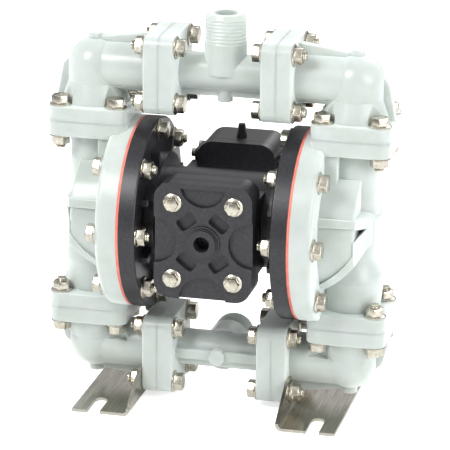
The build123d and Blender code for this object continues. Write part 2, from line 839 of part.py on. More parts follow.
# Inner chamber: rim, air bowl and the hub that stands on the centre block
with BuildPart() as inner_chamber:
    with BuildSketch(across_rod(inner_rim_back)):
        Circle(rim_radius)
    extrude(amount=inner_rim_thickness)
    fillet(edges().group_by(Axis.X)[0], inner_rim_rounding)
    with BuildSketch(across_rod(drum_reach)):
        Circle(drum_radius)
    extrude(amount=inner_rim_back - drum_reach)
    with BuildSketch(across_rod(block_half_width)):
        Circle(hub_radius)
    extrude(amount=drum_reach - block_half_width)
    # Ribs from the drum to the back of the rim, between the bolts
    with BuildSketch(across_rod(inner_rim_back - drum_rib_depth)):
        with PolarLocations(drum_rib_radius / 2 + drum_radius / 2, rim_bolt_count,
                            start_angle=180 / rim_bolt_count):
            Rectangle(drum_rib_radius - drum_radius + drum_rib_thickness, drum_rib_thickness)
    extrude(amount=drum_rib_depth)
    with BuildSketch(side_view):
        with BuildLine():
            Polyline((air_bowl_floor, 0), (air_bowl_floor, air_bowl_floor_radius),
                     (inner_face, clamp_inner_radius), (inner_face, 0), (air_bowl_floor, 0))
        make_face()
    revolve(axis=rod_axis, mode=Mode.SUBTRACT)
    # Holes for the rod's bushing, the pilot pin, the air way, the hub screws and the rim bolts
    hub_depth = air_bowl_floor - block_half_width
    with BuildSketch(across_rod(block_half_width)):
        Circle(bushing_radius + bushing_fit)
        with Locations((pilot_depth, pilot_height)):
            Circle(pin_radius + pilot_fit)
        with Locations((bowl_way_depth, air_way_height)):
            Circle(air_way_radius)
        with PolarLocations(hub_screw_circle, 4):
            Circle(m4_hole_radius)
    extrude(amount=hub_depth, mode=Mode.SUBTRACT)
    with BuildSketch(across_rod(air_bowl_floor)):
        with PolarLocations(hub_screw_circle, 4):
            Circle(m4_head_radius + thread_gap)
    extrude(amount=-m4_head_height, mode=Mode.SUBTRACT)
    with BuildSketch(across_rod(inner_rim_back)):
        with PolarLocations(rim_bolt_circle, rim_bolt_count):
            Circle(m8_hole_radius)
    extrude(amount=inner_rim_thickness, mode=Mode.SUBTRACT)
save_pair(inner_chamber, "inner_chamber")

# Diaphragm: clamped edge, dished web and a flat hub between the two plates
with BuildPart() as diaphragm:
    with BuildSketch(side_view):
        with BuildLine():
            web = hub_dish
            Line((inner_face, rim_radius - diaphragm_edge_gap), (outer_face, rim_radius - diaphragm_edge_gap))
            Line((outer_face, rim_radius - diaphragm_edge_gap), (outer_face, clamp_inner_radius))
            Spline((outer_face, clamp_inner_radius), (hub_outer_face, inner_plate_radius),
                   tangents=((0, -1), (0, -1)))
            Line((hub_outer_face, inner_plate_radius), (hub_outer_face, rod_thread_radius + rod_fit))
            Line((hub_outer_face, rod_thread_radius + rod_fit), (hub_inner_face, rod_thread_radius + rod_fit))
            Line((hub_inner_face, rod_thread_radius + rod_fit), (hub_inner_face, inner_plate_radius))
            Spline((hub_inner_face, inner_plate_radius), (inner_face, clamp_inner_radius),
                   tangents=((0, 1), (0, 1)))
            Line((inner_face, clamp_inner_radius), (inner_face, rim_radius - diaphragm_edge_gap))
        make_face()
    revolve(axis=rod_axis)
    with BuildSketch(across_rod(inner_face)):
        with PolarLocations(rim_bolt_circle, rim_bolt_count):
            Circle(m8_hole_radius)
    extrude(amount=diaphragm_thickness, mode=Mode.SUBTRACT)
save_pair(diaphragm, "diaphragm")

# Rod with the plates that clamp the two diaphragms on it
rod_end = plate_outer_face + plate_nut_height + rod_stick_out
with BuildPart() as rod:
    with BuildSketch(across_rod(-rod_end)):
        Circle(rod_thread_radius)
    extrude(amount=2 * rod_end)
    with BuildSketch(across_rod(-plate_inner_face)):
        Circle(rod_radius)
    extrude(amount=2 * plate_inner_face)
save(rod, "diaphragm_rod")

for name, start, thickness, radius in (
        ("inner_plate", plate_inner_face, inner_plate_thickness, inner_plate_radius),
        ("outer_plate", hub_outer_face, outer_plate_thickness, outer_plate_radius)):
    with BuildPart() as plate:
        with BuildSketch(across_rod(start)):
            Circle(radius)
            Circle(rod_thread_radius + rod_fit, mode=Mode.SUBTRACT)
        extrude(amount=thickness)
        rim_edges = edges().filter_by(GeomType.CIRCLE).filter_by(lambda e: abs(e.radius - radius) < rod_fit)
        fillet(rim_edges, plate_rounding)
    save_pair(plate, name)

with BuildPart() as plate_nut:
    with BuildSketch(across_rod(plate_outer_face)):
        RegularPolygon(plate_nut_flats / 2, 6, major_radius=False)
        Circle(rod_thread_radius + thread_gap, mode=Mode.SUBTRACT)
    extrude(amount=plate_nut_height)
save_both_sides(plate_nut, "plate_nuts")

with BuildPart() as bushing:
    with BuildSketch(across_rod(air_bowl_floor)):
        Circle(bushing_radius)
        Circle(rod_radius + rod_fit, mode=Mode.SUBTRACT)
    extrude(amount=-bushing_length)
save_pair(bushing, "rod_bushing")

with BuildPart() as rod_seal:
    with BuildSketch(across_rod(air_bowl_floor - bushing_length)):
        Circle(bushing_radius)
        Circle(rod_radius + rod_fit, mode=Mode.SUBTRACT)
    extrude(amount=-rod_seal_length)
save_both_sides(rod_seal, "rod_seals")

# Centre block: bored for the rod and the pilot valve, flanged for the cap and the air valve
valve_middle = (valve_top - valve_bottom) / 2
way_height = center_height + air_way_height
air_way_places = (-air_way_spread, 0, air_way_spread)
valve_bolt_places = [(x, z) for x in (-valve_bolt_x, valve_bolt_x) for z in (valve_bolt_low, valve_bolt_high)]
with BuildPart() as centre_block:
    with BuildSketch(facing_front(block_back)):
        Rectangle(2 * block_half_width, 2 * block_half_height)
    extrude(amount=block_front + block_back)
    with BuildSketch(across_rod(-block_half_width)):
        Circle(hub_radius)
    extrude(amount=2 * block_half_width)
    with BuildSketch(facing_front(-block_front)):
        RectangleRounded(2 * cap_half_width, 2 * cap_half_height, cap_corner)
    extrude(amount=front_flange_thickness)
    with BuildSketch(facing_front(block_back, center_height + valve_middle)):
        RectangleRounded(2 * valve_half_width, valve_top + valve_bottom, valve_corner)
    extrude(amount=back_flange_thickness)
    # Rod passage with a pocket for a seal at each end, and the pilot valve's bore
    with BuildSketch(across_rod(-block_half_width)):
        Circle(rod_passage_radius)
        with Locations((pilot_depth, pilot_height)):
            Circle(pilot_body_radius + pilot_fit)
    extrude(amount=2 * block_half_width, mode=Mode.SUBTRACT)
    for side in (-1, 1):
        with BuildSketch(across_rod(side * block_half_width)):
            Circle(bushing_radius + bushing_fit)
        extrude(amount=-side * rod_seal_length, mode=Mode.SUBTRACT)
        with BuildSketch(across_rod(side * block_half_width)):
            with PolarLocations(hub_screw_circle, 4):
                Circle(m4_radius + thread_gap)
        extrude(amount=-side * hub_thread_depth, mode=Mode.SUBTRACT)
        with BuildSketch(across_rod(side * block_half_width)):
            with Locations((bowl_way_depth, air_way_height)):
                Circle(air_way_radius)
        extrude(amount=-side * (block_half_width - air_way_spread), mode=Mode.SUBTRACT)
    # Air ways: one right through to the air valve, two from the valve to the bowls
    with BuildSketch(facing_front(block_back, way_height)):
        Circle(air_way_radius)
    extrude(amount=block_back + block_flange_front, mode=Mode.SUBTRACT)
    with BuildSketch(facing_front(block_back, way_height)):
        with Locations((air_way_spread, 0), (-air_way_spread, 0)):
            Circle(air_way_radius)
    extrude(amount=block_back - bowl_way_depth, mode=Mode.SUBTRACT)
    # Threads for the cap's and the valve's bolts
    with BuildSketch(facing_front(-block_flange_front)):
        with GridLocations(2 * cap_bolt_x, 2 * cap_bolt_z, 2, 2):
            Circle(m6_radius + thread_gap)
    extrude(amount=-m6_thread_depth, mode=Mode.SUBTRACT)
    with BuildSketch(facing_front(block_back)):
        with Locations(*valve_bolt_places):
            Circle(m6_radius + thread_gap)
    extrude(amount=valve_thread_depth, mode=Mode.SUBTRACT)
save(centre_block, "centre_block")

# Layers under the cap: gasket, distributor plate, gasket
with BuildSketch(Plane.XY) as layer_outline:
    RectangleRounded(2 * cap_half_width, 2 * cap_half_height, cap_corner)
    with GridLocations(2 * cap_bolt_x, 2 * cap_bolt_z, 2, 2):
        Circle(m6_hole_radius, mode=Mode.SUBTRACT)
for name, front, thickness in (("cap_gasket", cap_back, gasket_thickness),
                               ("distributor_plate", plate_front, plate_thickness),
                               ("block_gasket", plate_back, gasket_thickness)):
    with BuildPart() as layer:
        with BuildSketch(facing_front(-front)):
            add(layer_outline.sketch)
            if name == "cap_gasket":
                with Locations((0, air_way_height / 2)):
                    SlotOverall(air_way_height + 2 * air_way_radius, 2 * air_way_radius, rotation=90,
                                mode=Mode.SUBTRACT)
            else:
                with Locations((0, air_way_height)):
                    Circle(air_way_radius, mode=Mode.SUBTRACT)
        extrude(amount=-thickness)
    save(layer, name)

# Air inlet cap: four round recesses in its edges, four pockets, a stepped boss with the inlet
with BuildPart() as cap:
    with BuildSketch(facing_front(-cap_back)):
        add(layer_outline.sketch)
    extrude(amount=cap_thickness)
    with BuildSketch(facing_front(-cap_front)):
        with Locations((cap_half_width, 0), (-cap_half_width, 0), (0, -cap_half_height)):
            Circle(cap_recess_radius)
        # The recess above keeps a rim along the top edge
        with Locations((0, cap_half_height)):
            Circle(cap_recess_radius)
            Rectangle(2 * cap_recess_radius, 2 * cap_edge, mode=Mode.SUBTRACT)
    extrude(amount=-cap_recess_depth, mode=Mode.SUBTRACT)
    with BuildSketch(facing_front(-cap_front)):
        for side in (-1, 1):
            with PolarLocations(cap_pocket_offset, 2, start_angle=side * cap_bolt_angle):
                RectangleRounded(cap_pocket_length, cap_pocket_width, cap_pocket_rounding)
    extrude(amount=-cap_pocket_depth, mode=Mode.SUBTRACT)
    for step, radius in enumerate(inlet_boss_radii):
        with BuildSketch(facing_front(-cap_front)):
            Circle(radius)
        extrude(amount=(step + 1) * inlet_boss_step)
    with BuildSketch(facing_front(-cap_back)):
        Circle(inlet_bore_radius)
    extrude(amount=cap_thickness + inlet_boss_height, mode=Mode.SUBTRACT)
    with BuildSketch(facing_front(-cap_back)):
        with Locations((0, air_way_height / 2)):
            SlotOverall(air_way_height + 2 * air_way_radius, 2 * air_way_radius, rotation=90)
    extrude(amount=cap_way_depth, mode=Mode.SUBTRACT)
save(cap, "air_inlet_cap")

# Main air valve: body with a sleeve across it, two end caps, exhaust port at the back
with BuildPart() as valve_gasket:
    with BuildSketch(facing_front(valve_front, center_height + valve_middle)):
        RectangleRounded(2 * valve_half_width, valve_top + valve_bottom, valve_corner)
    extrude(amount=gasket_thickness)
    with BuildSketch(facing_front(valve_front)):
        with Locations(*valve_bolt_places):
            Circle(m6_hole_radius)
        with Locations(*[(x, air_way_height) for x in air_way_places]):
            Circle(air_way_radius)
    extrude(amount=gasket_thickness, mode=Mode.SUBTRACT)
save(valve_gasket, "valve_gasket")

with BuildPart() as valve_body:
    with BuildSketch(facing_front(valve_back, center_height + valve_middle)):
        RectangleRounded(2 * valve_half_width, valve_top + valve_bottom, valve_corner)
    extrude(amount=valve_thickness)
    with BuildSketch(facing_front(valve_back, center_height - exhaust_drop)):
        Circle(exhaust_boss_radius)
    extrude(amount=-exhaust_boss_height)
    with BuildSketch(Plane(origin=(0, valve_nub_depth, center_height + valve_top))):
        Circle(valve_nub_radius)
    with BuildSketch(Plane(origin=(0, valve_nub_depth, center_height + valve_top + valve_nub_height))):
        Circle(valve_nub_tip_radius)
    loft()
    # Bore for the sleeve, then the ways in from the block and out to the exhaust
    with BuildSketch(across_rod(-valve_half_width, way_height, spool_axis_depth)):
        Circle(sleeve_radius + sleeve_fit)
        with GridLocations(2 * end_cap_screw_offset, 2 * end_cap_screw_offset, 2, 2):
            Circle(m4_radius + thread_gap)
    extrude(amount=2 * valve_half_width, mode=Mode.SUBTRACT)
    with BuildSketch(facing_front(spool_axis_depth, way_height)):
        with Locations(*[(x, 0) for x in air_way_places]):
            Circle(air_way_radius)
    extrude(amount=spool_axis_depth - valve_front, mode=Mode.SUBTRACT)
    with BuildSketch(Plane(origin=(0, spool_axis_depth, way_height))):
        with Locations((-exhaust_spread, 0), (exhaust_spread, 0)):
            Circle(air_way_radius)
    extrude(amount=-air_way_height - exhaust_drop, mode=Mode.SUBTRACT)
    gallery_half_length = exhaust_spread + exhaust_way_radius
    with BuildSketch(across_rod(-gallery_half_length, center_height - exhaust_drop, spool_axis_depth)):
        Circle(exhaust_way_radius)
    extrude(amount=2 * gallery_half_length, mode=Mode.SUBTRACT)
    with BuildSketch(facing_front(valve_back + exhaust_boss_height, center_height - exhaust_drop)):
        Circle(exhaust_bore_radius)
    extrude(amount=exhaust_depth + exhaust_boss_height, mode=Mode.SUBTRACT)
    with BuildSketch(facing_front(valve_back)):
        with Locations(*valve_bolt_places):
            Circle(m6_hole_radius)
    extrude(amount=valve_thickness, mode=Mode.SUBTRACT)
save(valve_body, "valve_body")

with BuildPart() as valve_sleeve:
    with BuildSketch(across_rod(-valve_half_width, way_height, spool_axis_depth)):
        Circle(sleeve_radius)
        Circle(spool_radius + spool_fit, mode=Mode.SUBTRACT)
    extrude(amount=2 * valve_half_width)
    with BuildSketch(facing_front(spool_axis_depth, way_height)):
        with Locations(*[(x, 0) for x in air_way_places]):
            Circle(sleeve_hole_radius)
    extrude(amount=sleeve_radius, mode=Mode.SUBTRACT)
    with BuildSketch(Plane(origin=(0, spool_axis_depth, way_height))):
        with Locations((-exhaust_spread, 0), (exhaust_spread, 0)):
            Circle(sleeve_hole_radius)
    extrude(amount=-sleeve_radius, mode=Mode.SUBTRACT)
save(valve_sleeve, "valve_sleeve")

with BuildPart() as end_cap:
    with BuildSketch(across_rod(valve_half_width, way_height, spool_axis_depth)):
        RectangleRounded(2 * end_cap_half, 2 * end_cap_half, end_cap_corner)
        with GridLocations(2 * end_cap_screw_offset, 2 * end_cap_screw_offset, 2, 2):
            Circle(m4_hole_radius, mode=Mode.SUBTRACT)
    extrude(amount=end_cap_thickness)
save_pair(end_cap, "valve_end_cap")

# Spool: two working lands over the bowls' ports and a thin land at each end
with BuildPart() as spool:
    with BuildSketch(across_rod(-spool_half_length, way_height, spool_axis_depth)):
        Circle(spool_waist_radius)
    extrude(amount=2 * spool_half_length)
    for land_start, land_length in ((-spool_half_length, spool_end_land),
                                    (-air_way_spread - spool_land_length / 2, spool_land_length),
                                    (air_way_spread - spool_land_length / 2, spool_land_length),
                                    (spool_half_length - spool_end_land, spool_end_land)):
        with BuildSketch(across_rod(land_start, way_height, spool_axis_depth)):
            Circle(spool_radius)
        extrude(amount=land_length)
    for groove_middle in (-air_way_spread, air_way_spread):
        groove_plane = across_rod(groove_middle - spool_ring_width / 2, way_height, spool_axis_depth)
        groove = ring_outline(groove_plane, spool_radius, spool_ring_depth)
        extrude(groove, amount=spool_ring_width, mode=Mode.SUBTRACT)
save(spool, "air_valve_spool")

with BuildPart() as spool_rings:
    for groove_middle in (-air_way_spread, air_way_spread):
        ring_start = groove_middle - spool_ring_width / 2 + spool_fit
        ring_plane = across_rod(ring_start, way_height, spool_axis_depth)
        with BuildSketch(ring_plane):
            Circle(spool_radius)
            Circle(spool_radius - spool_ring_depth + spool_fit, mode=Mode.SUBTRACT)
        extrude(amount=spool_ring_width - 2 * spool_fit)
save(spool_rings, "spool_rings")

# Pilot valve: body held between the two hubs, spool with a pin out into each air bowl
pilot_axis_height = center_height + pilot_height
with BuildPart() as pilot_body:
    with BuildSketch(across_rod(-pilot_half_length, pilot_axis_height, pilot_depth)):
        Circle(pilot_body_radius)
        Circle(pilot_spool_radius + pilot_fit, mode=Mode.SUBTRACT)
    extrude(amount=2 * pilot_half_length)
save(pilot_body, "pilot_valve_body")

with BuildPart() as pilot_spool:
    with BuildSketch(across_rod(-pin_tip, pilot_axis_height, pilot_depth)):
        Circle(pin_radius)
    extrude(amount=2 * pin_tip)
    with BuildSketch(across_rod(-pilot_spool_half_length, pilot_axis_height, pilot_depth)):
        Circle(pilot_spool_radius)
    extrude(amount=2 * pilot_spool_half_length)
    for waist_middle in (-air_way_spread, air_way_spread):
        waist_plane = across_rod(waist_middle - spool_land_length / 2, pilot_axis_height, pilot_depth)
        waist = ring_outline(waist_plane, pilot_spool_radius, pilot_spool_radius - pin_radius)
        extrude(waist, amount=spool_land_length, mode=Mode.SUBTRACT)
save(pilot_spool, "pilot_spool")

# Leg bracket: an upright behind the lower flange, folded out into a slotted foot
with BuildPart() as leg:
    with BuildSketch(facing_front(foot_half_depth, 0.0, elbow_flange_back)):
        with BuildLine():
            FilletPolyline((0, leg_top_height), (0, 0), (foot_reach, 0), radius=leg_bend_radius + leg_sheet)
            offset(amount=leg_sheet, side=Side.LEFT)
        make_face()
    extrude(amount=2 * foot_half_depth)
    # Trapezium outline of the upright, with room for the elbow and its rib
    with BuildSketch(across_rod(elbow_flange_back, 0.0)):
        with BuildLine():
            Polyline((-foot_half_depth, 0), (foot_half_depth, 0), (foot_half_depth, foot_side_height),
                     (leg_top_half_depth, leg_top_height), (-leg_top_half_depth, leg_top_height),
                     (-foot_half_depth, foot_side_height), (-foot_half_depth, 0))
        make_face()
        with Locations((0, suction_axis_height)):
            Circle(leg_notch_radius, mode=Mode.SUBTRACT)
        with Locations((0, suction_axis_height / 2 + leg_notch_floor)):
            Rectangle(2 * leg_notch_half_slot, suction_axis_height, mode=Mode.SUBTRACT)
        with Locations((-flange_bolt_half, suction_axis_height - flange_bolt_half),
                       (flange_bolt_half, suction_axis_height - flange_bolt_half)):
            Circle(m8_hole_radius, mode=Mode.SUBTRACT)
    extrude(amount=foot_reach, mode=Mode.INTERSECT)
    with BuildSketch(Plane.XY):
        for side in (-1, 1):
            with Locations((foot_slot_center, side * foot_half_depth)):
                SlotOverall(2 * foot_slot_length, foot_slot_width, rotation=90)
    extrude(amount=leg_sheet, mode=Mode.SUBTRACT)
save_pair(leg, "leg_bracket")


def rim_planes(x, outward, places):
    """Planes for rim fasteners at the given places round the rod, facing out or in."""
    spots = []
    for place in places:
        spot = Vector(0, rim_bolt_circle, 0).rotate(Axis.X, place)
        origin = (x, spot.Y, center_height + spot.Z)
        spots.append(Plane(origin=origin, x_dir=(0, 1, 0), z_dir=(outward, 0, 0)))
    return spots


side_places = (0, 45, 135, 180, 225, 315)
neck_places = (90, 270)
rim_grip = outer_rim_back - inner_rim_back
save_both_sides(group_of(m8_bolt(rim_grip + m8_nut_height + bolt_stick_out),
                         rim_planes(outer_rim_back, 1, side_places)), "chamber_bolts")
save_both_sides(group_of(m8_nut(), rim_planes(inner_rim_back, -1, side_places)), "chamber_nuts")
neck_shank = outer_face - inner_rim_back + insert_bolt_reach
save_both_sides(group_of(m8_bolt(neck_shank), rim_planes(inner_rim_back, -1, neck_places)), "neck_bolts")


def joint_planes(height, up, offset):
    """Level planes on two bolt places of a chamber joint; up is 1 or -1."""
    return [Plane(origin=(column_offset + offset, y, height), x_dir=(1, 0, 0), z_dir=(0, 0, up))
            for y in (-flange_bolt_half, flange_bolt_half)]


# Chamber joints: bolts with nuts on the outer places, bolts into inserts next to the rim
joint_shank = 2 * flange_thickness + m8_nut_height + bolt_stick_out
with BuildPart() as joint_bolts:
    for joint_height, up in ((top_joint, 1), (bottom_joint, -1)):
        head_height = joint_height + up * flange_thickness
        add(group_of(m8_bolt(joint_shank), joint_planes(head_height, up, flange_bolt_half)).part)
        add(group_of(m8_bolt(flange_thickness + joint_insert_reach),
                     joint_planes(head_height, up, -flange_bolt_half)).part)
save_both_sides(joint_bolts, "joint_bolts")

with BuildPart() as joint_nuts:
    for joint_height, up in ((top_joint, 1), (bottom_joint, -1)):
        nut_height = joint_height - up * flange_thickness
        add(group_of(m8_nut(), joint_planes(nut_height, -up, flange_bolt_half)).part)
save_both_sides(joint_nuts, "joint_nuts")

with BuildPart() as inserts:
    add(group_of(m8_insert(insert_length), rim_planes(outer_face, -1, neck_places)).part)
    for joint_height, up in ((top_joint, 1), (bottom_joint, -1)):
        add(group_of(m8_insert(joint_insert_length), joint_planes(joint_height, up, -flange_bolt_half)).part)
save_both_sides(inserts, "threaded_inserts")


def pipe_joint_planes(x, axis_height, outward, row):
    """Upright planes on the upper (row 1) or lower (row -1) bolt places of a manifold joint."""
    height = axis_height + row * flange_bolt_half
    return [Plane(origin=(x, y, height), x_dir=(0, 1, 0), z_dir=(outward, 0, 0))
            for y in (-flange_bolt_half, flange_bolt_half)]


# Manifold joints; the lowest row also holds the leg bracket
pipe_shank = 2 * flange_thickness + m8_nut_height + bolt_stick_out
pipe_joints = ((discharge_axis_height, 1, 0.0), (discharge_axis_height, -1, 0.0),
               (suction_axis_height, 1, 0.0), (suction_axis_height, -1, leg_sheet))
with BuildPart() as manifold_bolts:
    for axis_height, row, packing in pipe_joints:
        places = pipe_joint_planes(manifold_flange_back, axis_height, -1, row)
        add(group_of(m8_bolt(pipe_shank + packing), places).part)
save_both_sides(manifold_bolts, "manifold_bolts")

with BuildPart() as manifold_nuts:
    for axis_height, row, packing in pipe_joints:
        places = pipe_joint_planes(elbow_flange_back + packing, axis_height, 1, row)
        add(group_of(m8_nut(), places).part)
save_both_sides(manifold_nuts, "manifold_nuts")

cap_shank = cap_front - block_flange_front + m6_thread_depth - thread_end_gap
cap_planes = [facing_front(-cap_front, center_height + z, x)
              for x in (-cap_bolt_x, cap_bolt_x) for z in (-cap_bolt_z, cap_bolt_z)]
save(group_of(m6_bolt(cap_shank), cap_planes), "cap_bolts")

valve_shank = valve_back - block_back + valve_thread_depth - thread_end_gap
valve_planes = [Plane(origin=(x, valve_back, center_height + z), x_dir=(1, 0, 0), z_dir=(0, 1, 0))
                for x, z in valve_bolt_places]
save(group_of(m6_bolt(valve_shank), valve_planes), "valve_bolts")

end_cap_planes = [across_rod(valve_half_width + end_cap_thickness, way_height + z, spool_axis_depth + y)
                  for y in (-end_cap_screw_offset, end_cap_screw_offset)
                  for z in (-end_cap_screw_offset, end_cap_screw_offset)]
save_both_sides(group_of(m4_screw(end_cap_thickness + m4_thread_depth), end_cap_planes), "end_cap_screws")

hub_screw_planes = [across_rod(air_bowl_floor - m4_head_height, center_height + z, y)
                    for y, z in ((hub_screw_circle, 0), (-hub_screw_circle, 0),
                                 (0, hub_screw_circle), (0, -hub_screw_circle))]
hub_shank = air_bowl_floor - m4_head_height - block_half_width + hub_thread_depth - thread_end_gap
save_both_sides(group_of(m4_screw(hub_shank), hub_screw_planes), "hub_screws")
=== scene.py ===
# %% [markdown]
# # A double diaphragm pump, dressed for its portrait
# This lesson takes the pump's measured CAD frame and gives it the finishes of the real one:
# milky moulded plastic, black filled plastic, rolled stainless sheet and small bright
# fasteners. Pieces that the CAD model keeps simple, such as the flexing diaphragms and the
# bolts, are modelled again here in more detail. The shapes and places all come from the frame.

import json
import math

import bmesh
import bpy
from mathutils import Matrix, Vector


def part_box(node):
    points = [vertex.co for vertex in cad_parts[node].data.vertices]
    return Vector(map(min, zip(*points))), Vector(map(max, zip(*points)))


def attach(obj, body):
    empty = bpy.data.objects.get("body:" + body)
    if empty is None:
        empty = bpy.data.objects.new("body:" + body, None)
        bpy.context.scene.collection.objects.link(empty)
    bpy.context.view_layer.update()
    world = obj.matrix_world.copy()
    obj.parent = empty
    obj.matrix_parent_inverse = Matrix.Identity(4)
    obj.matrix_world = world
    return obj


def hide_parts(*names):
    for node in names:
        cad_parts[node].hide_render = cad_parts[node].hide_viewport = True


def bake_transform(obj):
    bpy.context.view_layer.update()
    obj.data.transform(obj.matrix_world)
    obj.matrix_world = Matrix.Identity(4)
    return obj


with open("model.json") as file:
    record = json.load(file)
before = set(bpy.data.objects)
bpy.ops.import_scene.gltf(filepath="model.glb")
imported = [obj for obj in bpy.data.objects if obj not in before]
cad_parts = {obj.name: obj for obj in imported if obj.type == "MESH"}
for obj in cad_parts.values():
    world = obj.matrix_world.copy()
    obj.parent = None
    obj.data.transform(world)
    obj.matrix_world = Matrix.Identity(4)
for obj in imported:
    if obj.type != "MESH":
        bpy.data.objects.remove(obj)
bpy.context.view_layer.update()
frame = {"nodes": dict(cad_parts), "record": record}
nodes = frame["nodes"]

# %% [markdown]
# ## Helpers for colours and shader nodes
# Colours are picked as sRGB hex values, which is how a screen shows them. Blender computes in
# linear light, so one function turns a hex value into linear numbers. Two more small functions
# fill a shader node's inputs and add a node, so that each material below reads as a recipe.


# %% Colours and shader nodes
def linear(hex_colour):
    """Linear RGBA of an sRGB hex colour."""
    values = [int(hex_colour[i:i + 2], 16) / 255 for i in (1, 3, 5)]
    return [v / 12.92 if v <= 0.04045 else ((v + 0.055) / 1.055) ** 2.4 for v in values] + [1.0]


def fill(node, **inputs):
    """Give a node's inputs values, or sockets to link.

    Underscores in a name stand for spaces, and _0 means the input at place 0.
    """
    for name, value in inputs.items():
        key = int(name[1:]) if name[0] == "_" else name.replace("_", " ")
        if isinstance(value, bpy.types.NodeSocket):
            node.id_data.links.new(value, node.inputs[key])
        else:
            node.inputs[key].default_value = value


def add_node(tree, kind, settings=None, **inputs):
    """Add a shader node. Settings are its properties; inputs are filled in as above."""
    node = tree.nodes.new(kind)
    for name, value in (settings or {}).items():
        setattr(node, name, value)
    fill(node, **inputs)
    return node


def new_material(name):
    """An empty node material; returns (material, tree, shader)."""
    material = bpy.data.materials.new(name)
    material.use_nodes = True
    tree = material.node_tree
    return material, tree, tree.nodes["Principled BSDF"]


def speckle(tree, size_mm, detail, stretch=(1, 1, 1)):
    """Noise on Object coordinates in patches size_mm across; stretch lengthens them per axis."""
    place = add_node(tree, "ShaderNodeTexCoord").outputs["Object"]
    scaled = add_node(tree, "ShaderNodeMapping", Vector=place, Scale=[1 / s for s in stretch])
    return add_node(tree, "ShaderNodeTexNoise", Vector=scaled.outputs[0], Scale=1000 / size_mm,
                    Detail=detail, Roughness=0.55).outputs["Fac"]


def shades(tree, factor, *stops):
    """Colour ramp over a factor; each stop is (position, hex colour)."""
    ramp = add_node(tree, "ShaderNodeValToRGB", Fac=factor)
    elements = ramp.color_ramp.elements
    while len(elements) < len(stops):
        elements.new(0.5)
    for element, (position, colour) in zip(elements, stops):
        element.position = position
        element.color = linear(colour)
    return ramp.outputs["Color"]


def relief(tree, shader, height, depth_mm):
    """Drive the shader's normal with a bump of a real depth."""
    bump = add_node(tree, "ShaderNodeBump", Height=height, Distance=depth_mm / 1000, Strength=1.0)
    fill(shader, Normal=bump.outputs["Normal"])


# %% [markdown]
# ## Natural polypropylene
# The wetted parts are injection moulded from unpigmented polypropylene. It is milky: light goes
# in a few millimetres and comes back softened, which subsurface scattering gives. On top of that
# a ramp over the facing angle paints a sheen, whiter where a surface is seen edge on, and paints
# shade, darker where it is seen square on. The skin is satin, with faint clouds.

# %% Natural polypropylene
natural_pp, tree, shader = new_material("natural moulded polypropylene")
clouds = shades(tree, speckle(tree, size_mm=22, detail=3), (0.3, "#F1F3EE"), (0.7, "#FFFFFF"))
facing = add_node(tree, "ShaderNodeLayerWeight", Blend=0.5).outputs["Facing"]
# Painted sheen and shade: a ramp over the facing angle, whiter where a surface is seen edge on and
# darker where it is seen square on.
depth = shades(tree, facing,
               (0.0, "#B7BDBB"), (0.35, "#C7CECC"), (0.7, "#DEE6E5"), (1.0, "#F9FDFD"))
# The painted sheen and shade, multiplied by the random clouds, becomes the base colour.
painted_sheen_and_clouds = add_node(tree, "ShaderNodeMix", {"data_type": "RGBA", "blend_type": "MULTIPLY"},
                 _0=1.0, _6=depth, _7=clouds)
fill(shader, Base_Color=painted_sheen_and_clouds.outputs[2], Roughness=0.27, IOR=1.49, Subsurface_Weight=0.7,
     Subsurface_Radius=(1.0, 0.97, 0.9), Subsurface_Scale=0.006)
relief(tree, shader, speckle(tree, size_mm=1.6, detail=2), depth_mm=0.03)

# %% [markdown]
# ## Black filled polypropylene
# The air side is black plastic with glass fibre in it. Fibre ends make the skin mottled, grey on
# black, at about two millimetres, and a little rougher than the wetted parts.

# %% Black filled polypropylene
filled_pp, tree, shader = new_material("fibre filled black polypropylene")
mottle = speckle(tree, size_mm=1.8, detail=4)
fill(shader, Base_Color=shades(tree, mottle, (0.35, "#1D1D21"), (0.6, "#29292E"), (0.8, "#3B3B41")),
     Roughness=0.36, IOR=1.5)
relief(tree, shader, mottle, depth_mm=0.04)

# %% [markdown]
# ## Diaphragm elastomer
# The diaphragms are thermoplastic elastomer in an orange red. Only their edge shows between the
# rims: dull, soft and evenly coloured.

# %% Diaphragm elastomer
elastomer, tree, shader = new_material("moulded thermoplastic elastomer")
patches = speckle(tree, size_mm=9, detail=2)
fill(shader, Base_Color=shades(tree, patches, (0.3, "#DC6A58"), (0.7, "#EA8878")),
     Roughness=0.55, IOR=1.52)
relief(tree, shader, speckle(tree, size_mm=0.9, detail=2), depth_mm=0.02)

# %% [markdown]
# ## Rolled stainless sheet
# The legs are folded from bright rolled stainless sheet. The rolls leave long fine streaks,
# drawn here as noise stretched along Y, coarser than the real grain so that it shows.

# %% Rolled stainless sheet
rolled_sheet, tree, shader = new_material("rolled stainless sheet")
streaks = speckle(tree, size_mm=1.2, detail=3, stretch=(1, 30, 1))
fill(shader, Base_Color=shades(tree, streaks, (0.3, "#A8A399"), (0.7, "#CDC9BF")),
     Metallic=1.0, Roughness=0.24)
relief(tree, shader, streaks, depth_mm=0.01)

# %% [markdown]
# ## Fasteners
# Bolts and nuts are cold formed stainless steel, with a warm cast and small tumbling marks.

# %% Fastener steel
fastener_steel, tree, shader = new_material("cold formed stainless steel")
stains = speckle(tree, size_mm=2.5, detail=3)
fill(shader, Base_Color=shades(tree, stains, (0.3, "#B5AF9F"), (0.7, "#D8D4C8")),
     Metallic=1.0, Roughness=0.26)
relief(tree, shader, speckle(tree, size_mm=1.5, detail=2), depth_mm=0.015)

# %% [markdown]
# ## Finishes of the inside
# Inside the pump are machined aluminium plates, a ground rod, brass inserts, white fluoropolymer
# balls and bushings, and black rubber rings. They show when the pump is taken apart, so each has
# its own finish too. The plates are satin and the rod nearly mirror bright, both with fine marks
# along X, drawn coarser than real tool marks so that they show. Brass is warm and satin,
# fluoropolymer a waxy off-white, and rubber a dull black.

